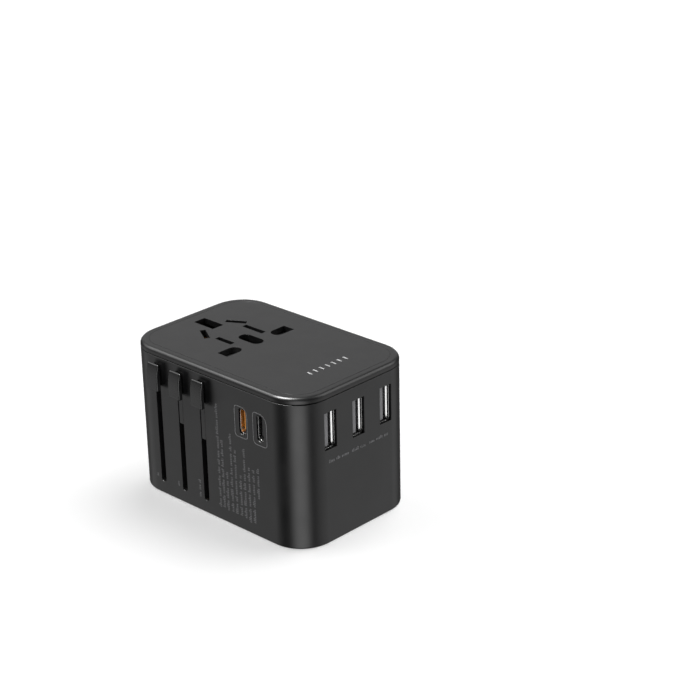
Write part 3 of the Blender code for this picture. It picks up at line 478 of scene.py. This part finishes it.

# %% [markdown]
# ## From a shape to a piece
# A shape is drawn with bmesh, Blender's mesh editing kit, and then has to become an object. It gets its
# material, it is told which moving body of the CAD model it rides on, and it may stand for CAD nodes,
# which are then hidden.

# %% Piece helper
def finish_piece(name, shape, material, body, nodes=()):
    """Turns a shape in metres into a piece with its material, which rides on a body if one is named."""
    mesh = bpy.data.meshes.new(name)
    shape.to_mesh(mesh)
    shape.free()
    for old in [a for a in mesh.attributes if a.name == "custom_normal"]:
        mesh.attributes.remove(old)
    mesh.materials.clear()
    mesh.materials.append(material)
    piece = bpy.data.objects.new(name, mesh)
    bpy.context.scene.collection.objects.link(piece)
    if body:
        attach(piece, body)
    if nodes:
        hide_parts(*nodes)
    return piece


body_of = {node: body for body, nodes in frame["record"]["behaviour"]["bodies"].items() for node in nodes}
print("bodies:", sorted(set(body_of.values())))

# %% [markdown]
# ## Copies of the CAD solids
# The CAD solids have sharp edges and are cut into triangles, so each visible one gets a copy. The
# copy's corner points are welded and its flat triangles are merged into whole faces. Without that, the
# bevel would break up where long thin triangles meet an edge.

# %% Copy helper
WELD = 0.002 * MM
FLAT = radians(0.8)


def cad_shape(node):
    """A CAD node's shape, welded, with its flat faces whole again."""
    shape = bmesh.new()
    shape.from_mesh(frame["nodes"][node].data)
    bmesh.ops.remove_doubles(shape, verts=shape.verts, dist=WELD)
    bmesh.ops.dissolve_limit(shape, angle_limit=FLAT, verts=shape.verts, edges=shape.edges)
    return shape


def eased_copy(node, material, width_mm, segments=2):
    """A copy of a CAD node with eased edges that stands for it."""
    piece = finish_piece(node + "_finish", cad_shape(node), material, body_of[node], [node])
    return ease(piece, width_mm, segments)


print("CAD nodes:", len(body_of))

# %% [markdown]
# ## Casing
# Three mouldings make the outside: the deep main shell, the cover with its rounded rim and the flat
# socket plate that is set into the cover. The parting line between shell and cover is a narrow groove
# that stays dark, and the plate fits so closely that only a hairline shows. So the plate's copy is
# grown by a fifth of a millimetre to each side. The hexagonal body of the European plug and the fuse
# door are moulded from the same plastic.

# %% Casing pieces
PLATE_GROWTH = 0.2 * MM
CASING_EASE_MM = {"main_shell": 0.17, "top_cover": 0.06, "eu_plug_body": 0.15, "fuse_door": 0.12}
PLATE_EASE_MM = 0.03
for node, width_mm in CASING_EASE_MM.items():
    eased_copy(node, casing_plastic, width_mm)
plate = eased_copy("socket_plate", plate_plastic, PLATE_EASE_MM)
plate_low, plate_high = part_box("socket_plate")
for point in plate.data.vertices:
    for axis in (0, 1):
        reach = point.co[axis] - centre[axis]
        half = (plate_high[axis] - plate_low[axis]) / 2
        point.co[axis] += PLATE_GROWTH * reach / half
print("casing pieces eased:", len(CASING_EASE_MM) + 1)

# %% [markdown]
# ## Inner pieces
# The carriers that hold the pins, the guide frame and the carrier of the contacts are glass-filled
# nylon, stiff and dull. They, the contacts and the charger keep the CAD's own shapes and only get
# their finish. Assigning a material to the first slot of the CAD object is all that takes.

# %% Inner pieces
FINISHES = {
    "contact_carrier": inner_nylon, "shutter": inner_nylon, "guide_frame": inner_nylon,
    "fuse_cradle": inner_nylon, "eu_carrier": inner_nylon, "uk_carrier": inner_nylon,
    "us_carrier": inner_nylon, "us_carrier_cap": inner_nylon, "live_contact": contact_brass,
    "neutral_contact": contact_brass, "earth_contact": contact_brass, "fuse_clip_low": contact_brass,
    "fuse_clip_high": contact_brass, "charger_board": green_board, "port_board": green_board,
    "transformer": yellow_tape, "capacitor_1": shrink_sleeve, "capacitor_2": shrink_sleeve,
    "fuse": steatite,
}
for node, material in FINISHES.items():
    data = frame["nodes"][node].data
    data.materials.clear()
    data.materials.append(material)
print("inner pieces finished:", len(FINISHES))

# %% [markdown]
# ## Shutter spring
# The spring is squeezed between the shutter and a stop: one end travels, the other stays put. As one
# stiff piece it would pass through the shutter.

# %% Shutter spring
spring_low, spring_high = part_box("shutter_spring")
spring_mid = (spring_low + spring_high) / 2
spring = finish_piece("shutter_spring_coil", cad_shape("shutter_spring"), spring_steel, None,
                      ["shutter_spring"])
ease(spring, 0)
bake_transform(spring, "casing", "socket_shutter", start=(spring_high.x, spring_mid.y, spring_mid.z),
         end=(spring_low.x, spring_mid.y, spring_mid.z))
print("spring, mm:", round((spring_high.x - spring_low.x) / MM, 1))

# %% [markdown]
# ## Shapes from outlines
# Most small pieces here are straight in one direction: a knob's plate, a sleeve, a spring leaf. Each is
# drawn as an outline across that direction and pulled out along it, as a plastic profile is pressed
# through a die. That keeps every piece one closed shell. A box is the shortest outline of all.

# %% Shape helpers
def extruded(outline, axis, low, high):
    """A closed outline in two axes, pulled out along the third from low to high."""
    shape = bmesh.new()
    order = [i for i in range(3) if i != axis]
    loops = []
    for at in (low, high):
        loop = []
        for a, b in outline:
            point = [0.0, 0.0, 0.0]
            point[order[0]], point[order[1]], point[axis] = a, b, at
            loop.append(shape.verts.new(point))
        loops.append(loop)
    shape.faces.new(loops[0])
    shape.faces.new(reversed(loops[1]))
    count = len(outline)
    for i in range(count):
        j = (i + 1) % count
        shape.faces.new((loops[0][j], loops[0][i], loops[1][i], loops[1][j]))
    bmesh.ops.recalc_face_normals(shape, faces=shape.faces)
    return shape


def block(low, high):
    """A box between two corners in metres."""
    return extruded([(low[0], low[1]), (high[0], low[1]), (high[0], high[1]), (low[0], high[1])],
                    2, low[2], high[2])


def merged(target, *others):
    """Adds closed shapes to a shape, each as a shell of its own."""
    for other in others:
        spare = bpy.data.meshes.new("spare")
        other.to_mesh(spare)
        other.free()
        target.from_mesh(spare)
        bpy.data.meshes.remove(spare)
    return target


sample = block((0, 0, 0), (1, 1, 1))
print("a block has", len(sample.faces), "faces")
sample.free()

# %% [markdown]
# ## Slider knobs
# A finger pushes a knob down along its slot. Its plate is crowned, fuller in the lower half, so that
# the finger finds it. Its curve lies in the YZ plane, so the plate is drawn as an outline seen from the
# side and pulled out along X.

# %% Finger plate
KNOB_PLATE = 1.5 * MM
KNOB_CROWN = 0.8 * MM
CROWN_SHARE = 0.55  # the upper part of the plate's height that curves back
KNOB_STEPS = 10
KNOB_TALL = 9.0 * MM
PLATE_SHIFT = 0.4 * MM


def finger_plate(low, high):
    """The crowned plate of a knob between the corners of the knob's box."""
    middle_x = (low.x + high.x) / 2 + PLATE_SHIFT
    front = low.y
    tall = KNOB_TALL
    top = high.z
    outline = [(front + KNOB_PLATE, top - tall), (front + KNOB_PLATE, top)]
    for i in range(KNOB_STEPS + 1):
        t = i / KNOB_STEPS
        rise = max(0.0, 1 - t / CROWN_SHARE) ** 2
        outline.append((front + KNOB_CROWN * rise, top - tall * t))
    half = (high.x - low.x) / 2
    return extruded(outline, 0, middle_x - half, middle_x + half)


print("knob plate, mm thick and tall:", round(KNOB_PLATE / MM, 1), round(KNOB_TALL / MM, 1))

# %% [markdown]
# The plate stands off the wall on a narrower stem, and an arm goes on through the slot to the carrier
# inside. The British and the American knob also have a flat strip that closes part of the slot below
# them. Stem, arm and strip are one piece, which rides along with the plate.

# %% The three knobs
PLATE_EASE = (0.38, 3)  # width in millimetres, and segments
STEM = (3.4 * MM, 7.4 * MM)
STEM_EASE_MM = 0.1
STEM_GAP = 0.3 * MM
OVERLAP = 0.2 * MM
ARM = 1.7 * MM
ARM_START = 0.5 * MM  # in front of the wall
ARM_FOOT = 1.0 * MM   # above the plate's lower edge
ARM_HEAD = 3.0 * MM   # below the plate's upper edge
STRIP_HEAD = 2.0 * MM  # above the plate's lower edge
STRIP_SHIFT = 0.22 * MM
STRIP_DEPTH = 0.02 * MM
wall_y = shell_low.y
for kind in ("eu", "uk", "us"):
    low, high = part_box(f"{kind}_knob")
    x = (low.x + high.x) / 2
    piece = finish_piece(f"{kind}_knob_plate", finger_plate(low, high), knob_plastic,
                         body_of[f"{kind}_knob"], [f"{kind}_knob"])
    ease(piece, *PLATE_EASE)
    middle = high.z - KNOB_TALL / 2
    stem = block((x - STEM[0] / 2, low.y + KNOB_PLATE - OVERLAP, middle - STEM[1] / 2),
                 (x + STEM[0] / 2, wall_y - STEM_GAP, middle + STEM[1] / 2))
    plate_foot = high.z - KNOB_TALL
    inner = block((x - ARM / 2, wall_y - ARM_START, plate_foot + ARM_FOOT),
                  (x + ARM / 2, high.y, high.z - ARM_HEAD))
    shapes = [inner]
    if low.z < plate_foot - MM:
        shapes.append(block((x - ARM / 2 + STRIP_SHIFT, wall_y + STRIP_DEPTH, low.z),
                            (x + ARM / 2 + STRIP_SHIFT, high.y, plate_foot + STRIP_HEAD)))
    stem_piece = finish_piece(f"{kind}_knob_stem", merged(stem, *shapes), casing_plastic,
                              body_of[f"{kind}_knob"])
    ease(stem_piece, STEM_EASE_MM)
print("knob stands off the wall, mm:", round((wall_y - low.y) / MM, 1))

# %% [markdown]
# ## Plug pins
# The pins and blades keep the CAD's sizes, with eased edges so that they slip into a socket. The upper
# half of a British or European pin wears a thin insulating sleeve, so that no live metal is in reach
# while a plug is half in.

# %% Pins and blades
PIN_EASE_MM = {"eu_pin_1": 0.1, "eu_pin_2": 0.1, "uk_neutral_pin": 0.25, "uk_live_pin": 0.25,
               "uk_earth_pin": 0.3, "us_blade_1": 0.15, "us_blade_2": 0.15}
for node, width_mm in PIN_EASE_MM.items():
    eased_copy(node, nickel, width_mm)
print("plated pins and blades:", len(PIN_EASE_MM))

# %% [markdown]
# A sleeve is a plain profile around the pin, a few hundredths of a millimetre proud of the metal. It is
# a block around a British pin and a round tube around a European one.

# %% Sleeves
SLEEVE = 0.05 * MM
UK_SLEEVE = (8.5 * MM, 9.3 * MM)  # from the pin's tip, and its length
UK_PIN_HALF = Vector((1.98 * MM, 3.175 * MM, 0))
UK_SLEEVE_EASE_MM = 0.3
EU_SLEEVE = (9.5 * MM, 10.0 * MM)
EU_PIN_RADIUS = 2.0 * MM
EU_SLEEVE_EASE_MM = 0.15
for node in ("uk_neutral_pin", "uk_live_pin"):
    low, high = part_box(node)
    mid = (low + high) / 2
    half = UK_PIN_HALF
    bottom = low.z + UK_SLEEVE[0]
    tube = block((mid.x - half.x - SLEEVE, mid.y - half.y - SLEEVE, bottom),
                 (mid.x + half.x + SLEEVE, mid.y + half.y + SLEEVE, bottom + UK_SLEEVE[1]))
    sleeve = finish_piece(node + "_sleeve", tube, sleeve_nylon, body_of[node])
    ease(sleeve, UK_SLEEVE_EASE_MM)


def ring_outline(centre_xy, radius, steps=40):
    """Points on a circle."""
    return [(centre_xy[0] + radius * cos(2 * pi * i / steps),
             centre_xy[1] + radius * sin(2 * pi * i / steps)) for i in range(steps)]


for node in ("eu_pin_1", "eu_pin_2"):
    low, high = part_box(node)
    mid = (low + high) / 2
    bottom = low.z + EU_SLEEVE[0]
    tube = extruded(ring_outline((mid.x, mid.y), EU_PIN_RADIUS + SLEEVE), 2, bottom, bottom + EU_SLEEVE[1])
    sleeve = finish_piece(node + "_sleeve", tube, sleeve_nylon, body_of[node])
    ease(sleeve, EU_SLEEVE_EASE_MM)
print("sleeved pins: 4")

# %% [markdown]
# ## Screws and the fuse
# Seven cross-head screws in black zinc hold the casing and the guide frame. The fuse is a ceramic tube
# between two plated caps: the caps are short cups that stand just proud of the tube's ends.

# %% Screws and fuse caps
SCREW_EASE_MM = 0.12
for node in sorted(frame["nodes"]):
    if "_screw_" in node:
        eased_copy(node, black_screw, SCREW_EASE_MM)

fuse_low, fuse_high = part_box("fuse")
fuse_mid = (fuse_low + fuse_high) / 2
fuse_r = (fuse_high.x - fuse_low.x) / 2
CAP_LENGTH = 5.0 * MM
CAP_SKIN = 0.04 * MM
CAP_EASE_MM = 0.2
for name, bottom in (("fuse_cap_low", fuse_low.z), ("fuse_cap_high", fuse_high.z - CAP_LENGTH)):
    cap = extruded(ring_outline((fuse_mid.x, fuse_mid.y), fuse_r + CAP_SKIN), 2,
                   bottom - CAP_SKIN, bottom + CAP_LENGTH + CAP_SKIN)
    ease(finish_piece(name, cap, fuse_cap_metal, body_of["fuse"]), CAP_EASE_MM)
print("fuse radius, mm:", round(fuse_r / MM, 2))

# %% [markdown]
# ## USB ports
# Each port is a stamped steel shell with a plastic tongue that carries the contacts. A grey tongue
# marks the USB-A ports, and the fast USB-C port has an orange one. Inside one long wall of a USB-A
# shell a spring leaf bulges in to grip the plug. It is the brightest thing on the whole adapter,
# because its polished slope faces the room, so it is a piece of its own and not part of the shell.

# %% USB-A ports
LEAF = ((0.5, 0.22), (0.78, 0.60), (1.9, 0.9), (5.5, 0.0))  # mm behind the mouth, mm in from the wall
LEAF_GAP = 0.2 * MM
SHELL_SHEET = 0.35 * MM
USB_A_EASE_MM = 0.06
TONGUE_EASE_MM = 0.08
for index in (1, 2, 3):
    eased_copy(f"usb_a_shell_{index}", port_steel, USB_A_EASE_MM)
    eased_copy(f"usb_a_tongue_{index}", tongue_grey, TONGUE_EASE_MM)
    low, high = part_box(f"usb_a_shell_{index}")
    outline = [(high.x - depth * MM, high.y - SHELL_SHEET - inward * MM) for depth, inward in LEAF]
    end_gap = SHELL_SHEET + LEAF_GAP
    leaf = extruded(outline, 2, low.z + end_gap, high.z - end_gap)
    ease(finish_piece(f"usb_a_leaf_{index}", leaf, port_steel, "casing"), 0)
print("USB-A mouth, mm:", [round((high[i] - low[i]) / MM, 1) for i in (1, 2)])

# %% [markdown]
# A USB-C shell is drawn from one piece of steel into an oval tube, so it has no seam and no leaf, and
# its tongue stands free in the middle. The CAD shapes need nothing but eased edges.

# %% USB-C ports
USB_C_EASE_MM = 0.05
for index, polymer, slot in ((1, tongue_orange, "orange_plastic"), (2, tongue_polymer, "port_plastic")):
    eased_copy(f"usb_c_shell_{index}", port_steel, USB_C_EASE_MM)
    eased_copy(f"usb_c_tongue_{index}", polymer, TONGUE_EASE_MM)
low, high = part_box("usb_c_shell_1")
print("USB-C shell, mm:", [round((high[i] - low[i]) / MM, 1) for i in (0, 2)])

# %% [markdown]
# ## Inks
# Marks on a casing like this are pad-printed: a soft silicone pad presses a thin film of ink on the
# wall. The film is flat and dull, and a faint mottle stays where the pad lifted. Three inks are used: a
# dim grey for fine print, a clearer grey for the frames and the plug face, and silver for the socket
# face.

# %% Pad-printed inks
def pad_print(name, light):
    """Pad-printed ink: a flat grey with a faint mottle where the pad lifted."""
    made, tree, place = start(name)
    mottle = add(tree, "TexNoise", {"Scale": per_metre(0.4), "Detail": 2.0}, {"Vector": place})
    colour = add(tree, "ValToRGB", {}, {"Fac": mottle.outputs["Fac"]})
    colour.color_ramp.elements[0].color = linear("#1E1E1F")
    colour.color_ramp.elements[0].position = 0.2
    colour.color_ramp.elements[1].color = linear(light)
    colour.color_ramp.elements[1].position = 0.55
    shader = add(tree, "BsdfPrincipled", {"Roughness": 0.55, "IOR": 1.48},
                 {"Base Color": colour.outputs["Color"]})
    add(tree, "OutputMaterial", {}, {"Surface": shader.outputs[0]})
    return made


faint_ink = pad_print("grey_pad_print", "#767678")
clear_ink = pad_print("light_pad_print", "#8E8E90")
bright_ink = pad_print("silver_pad_print", "#D5D5D6")
print("inks:", [ink.name for ink in (faint_ink, clear_ink, bright_ink)])

# %% [markdown]
# ## Printed marks
# Fine print covers part of the walls. No real wording is drawn. Each line is made of small upright bars
# grouped like words, a third of a millimetre wide, which reads as fine print at arm's length. Every bar
# is a flat box three hundredths of a millimetre thick, so the marks are real shapes that move with
# the casing. A `Wall` knows where a flat wall is and which way its print reads, so that a mark is
# placed by two measures on the wall instead of three in space.

# %% Walls to print on
INK_THICK = 0.03 * MM
BAR_PITCH = 0.62 * MM
BAR_WIDE = 0.34 * MM
BAR_HEIGHTS = (0.62, 0.62, 0.7, 1.0)  # shares of the line's height
WORD_BARS = (3, 8)  # the fewest and the most bars in a word


class Wall:
    """A flat wall with a point to measure from, a reading direction, an up direction and a normal."""

    def __init__(self, corner, reading, rise):
        self.corner = Vector(corner)
        self.reading = Vector(reading)
        self.rise = Vector(rise)
        self.normal = self.reading.cross(self.rise)

    def bar(self, shape, along, height, wide, tall):
        """One printed bar, by its middle."""
        middle = self.corner + self.reading * along + self.rise * height + self.normal * INK_THICK / 2
        turn = Matrix((self.reading, self.rise, self.normal)).transposed().to_4x4()
        size = Matrix.Diagonal((wide, tall, INK_THICK, 1.0))
        bmesh.ops.create_cube(shape, size=1.0, matrix=Matrix.Translation(middle) @ turn @ size)

    def line(self, shape, dice, start_at, end_at, height, tall):
        """A line of fine print: bars in groups like words."""
        along = start_at + BAR_PITCH / 2
        left_in_word = dice.randint(*WORD_BARS)
        while along < end_at - BAR_PITCH / 2:
            bar_tall = tall * dice.choice(BAR_HEIGHTS)
            self.bar(shape, along, height - (tall - bar_tall) / 2, BAR_WIDE, bar_tall)
            along += BAR_PITCH
            left_in_word -= 1
            if left_in_word == 0:
                along += BAR_PITCH
                left_in_word = dice.randint(*WORD_BARS)


knob_wall = Wall((centre.x, shell_low.y, 0), (0, 0, 1), (-1, 0, 0))
usb_wall = Wall((shell_high.x, centre.y, 0), (0, 1, 0), (0, 0, 1))
plug_face = Wall((centre.x, centre.y, 0), (0, 1, 0), (1, 0, 0))
socket_face = Wall((centre.x, centre.y, cover_high.z), (0, 1, 0), (-1, 0, 0))
for name, wall in (("knob", knob_wall), ("usb", usb_wall), ("plug", plug_face), ("socket", socket_face)):
    print(name, "wall faces", [round(c) for c in wall.normal])

# %% [markdown]
# The wall with the knobs carries ten lines that read upwards, and a short mark beside the foot of each
# slot. A fixed seed draws the same bars every time.

# %% Print on the wall with the knobs
PRINT_LINES = (  # mm from the middle of the casing along X, then the heights where it starts and ends
    (2.7, 4.7, 41.8), (4.5, 5.1, 28.7), (6.3, 4.6, 18.6), (8.4, 4.9, 32.7), (10.3, 4.8, 27.7),
    (12.4, 4.9, 19.5), (14.3, 4.7, 29.0), (16.3, 3.9, 23.7), (18.3, 4.3, 23.3), (20.4, 13.5, 24.2),
)
SLOT_MARKS = ((-27.3, 5.6, 7.0), (-17.1, 5.4, 7.6), (-6.8, 5.0, 11.7))
LINE_TALL = 1.15 * MM
dice = random.Random(7)
fine = bmesh.new()
for x, low_z, high_z in PRINT_LINES + SLOT_MARKS:
    knob_wall.line(fine, dice, low_z * MM, high_z * MM, -x * MM, LINE_TALL)
finish_piece("knob_wall_print", fine, faint_ink, "casing")
print("lines of print:", len(PRINT_LINES + SLOT_MARKS))

# %% [markdown]
# Thin frames surround the two USB-C ports. A frame is the strip between an outer and an inner rounded
# rectangle, so one function draws the rounded loop, and the strip is filled in between two of them.

# %% Frame helpers
def rounded_loop(low, high, radii, steps=8):
    """Points round a rectangle, with a radius for each corner from the lower left one, turning left."""
    corners = ((low[0], low[1], 180), (high[0], low[1], 270), (high[0], high[1], 0), (low[0], high[1], 90))
    points = []
    for (cx, cy, first), radius in zip(corners, radii):
        mx = cx + (radius if cx == low[0] else -radius)
        my = cy + (radius if cy == low[1] else -radius)
        for i in range(steps + 1):
            angle = radians(first + 90 * i / steps)
            points.append((mx + radius * cos(angle), my + radius * sin(angle)))
    return points


def framed(wall, shape, low, high, radii, wide):
    """A printed frame: the strip between two rounded loops, with a thickness."""
    outer = rounded_loop(low, high, radii)
    inner = rounded_loop((low[0] + wide, low[1] + wide), (high[0] - wide, high[1] - wide),
                         [r - wide for r in radii])
    rings = []
    for lift in (0.0, INK_THICK):
        for loop in (outer, inner):
            rings.append([shape.verts.new(wall.corner + wall.reading * a + wall.rise * b
                                          + wall.normal * lift) for a, b in loop])
    count = len(outer)
    for one, two in ((0, 1), (1, 3), (3, 2), (2, 0)):
        for i in range(count):
            j = (i + 1) % count
            shape.faces.new((rings[one][i], rings[one][j], rings[two][j], rings[two][i]))


print("points on a square's rounded loop:", len(rounded_loop((0, 0), (1, 1), (0.1,) * 4)))

# %% [markdown]
# The frames are not quite alike: the second is wider, and in both the upper corner towards the USB-A
# ports is rounder than the rest. Each corner therefore has a radius of its own.

# %% Frames around the USB-C ports
upright = Wall((centre.x, shell_low.y, 0), (1, 0, 0), (0, 0, 1))
frames = bmesh.new()
FRAME_LINE = 0.22 * MM
PORT_FRAMES = (  # mm: the lower left corner, the upper right one, and the four radii
    ((11.0, 32.4), (16.7, 43.0), (1.2, 1.2, 2.6, 1.2)),
    ((19.1, 32.2), (25.2, 43.1), (1.6, 1.2, 3.2, 1.2)),
)
for low_corner, high_corner, radii in PORT_FRAMES:
    framed(upright, frames, [c * MM for c in low_corner], [c * MM for c in high_corner],
           [r * MM for r in radii], FRAME_LINE)
bmesh.ops.recalc_face_normals(frames, faces=frames.faces)
finish_piece("usb_c_frames", frames, clear_ink, "casing")
print("frames:", len(PORT_FRAMES))

# %% [markdown]
# One line runs below the USB-A ports, in three parts. The plug face has two blocks of lines that read
# across it: a large one at the USB end, and a small one between the openings of the British pins.

# %% Print on the USB wall and the plug face
USB_LINE_PARTS = ((-13.4, -4.6), (-3.4, 3.2), (4.4, 13.3))  # mm from the middle along Y
USB_LINE_HEIGHT = 27.9 * MM
usb_print = bmesh.new()
for start_at, end_at in USB_LINE_PARTS:
    usb_wall.line(usb_print, dice, start_at * MM, end_at * MM, USB_LINE_HEIGHT, LINE_TALL)
finish_piece("usb_wall_print", usb_print, faint_ink, "casing")

FACE_LINES = (  # mm from the middle of the plug face along X, then from and to along Y
    (34.6, -3.5, 4.5), (31.6, -16.0, 17.0), (29.2, -16.0, 15.5), (26.8, -16.0, -8.0), (24.4, -16.0, 10.0),
    (22.0, -16.0, 8.0), (19.6, -16.0, 6.0), (17.2, -16.0, -5.0), (-11.0, -7.0, 7.0), (-13.2, -7.0, 7.0),
    (-17.6, -7.0, 6.0),
)
face_print = bmesh.new()
for x, low_y, high_y in FACE_LINES:
    plug_face.line(face_print, dice, low_y * MM, high_y * MM, x * MM, LINE_TALL)
finish_piece("plug_face_print", face_print, clear_ink, "casing")
print("lines on the plug face:", len(FACE_LINES))

# %% [markdown]
# A row of plain silver bars stands on the socket face near the USB end, where a maker would put a name.
# It stands in for one and spells nothing.

# %% Plain mark on the socket face
MARK_X = 25.3 * MM
MARK_Y = 0.9 * MM
MARK_PITCH = 2.6 * MM
MARK_BAR = (0.55 * MM, 2.1 * MM)
MARK_BARS = 7
mark = bmesh.new()
for i in range(MARK_BARS):
    from_middle = (i - (MARK_BARS - 1) / 2) * MARK_PITCH
    socket_face.bar(mark, MARK_Y + from_middle, -MARK_X, *MARK_BAR)
finish_piece("socket_face_mark", mark, bright_ink, "casing")
print("bars on the socket face:", MARK_BARS)
